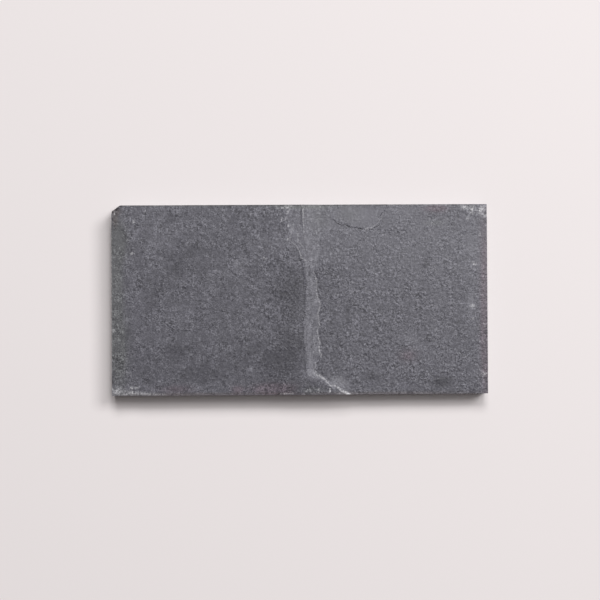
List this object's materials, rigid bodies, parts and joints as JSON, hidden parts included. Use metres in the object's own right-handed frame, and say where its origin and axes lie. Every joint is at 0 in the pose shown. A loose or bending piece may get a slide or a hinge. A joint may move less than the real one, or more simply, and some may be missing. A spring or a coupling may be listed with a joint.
{
  "type": "slate slab",
  "caption": "Rectangular natural-cleft slate slab, sawn square with a flat ground back and a split face in two levels with a broken ramp between them; small paver, wall or floor tile.",
  "frame": {"origin": "middle of the ground back, at the centre of the sawn rectangle", "axes": "+X along the slab's length, from the upper cleavage level towards the lower one; +Y across its width; +Z out of the split face, up from the back"},
  "size_m": [0.1524, 0.077, 0.0101],
  "materials": {
    "slate": "matte"
  },
  "bodies": {
    "root": {"slate_slab": "slate"}
  },
  "joints": []
}
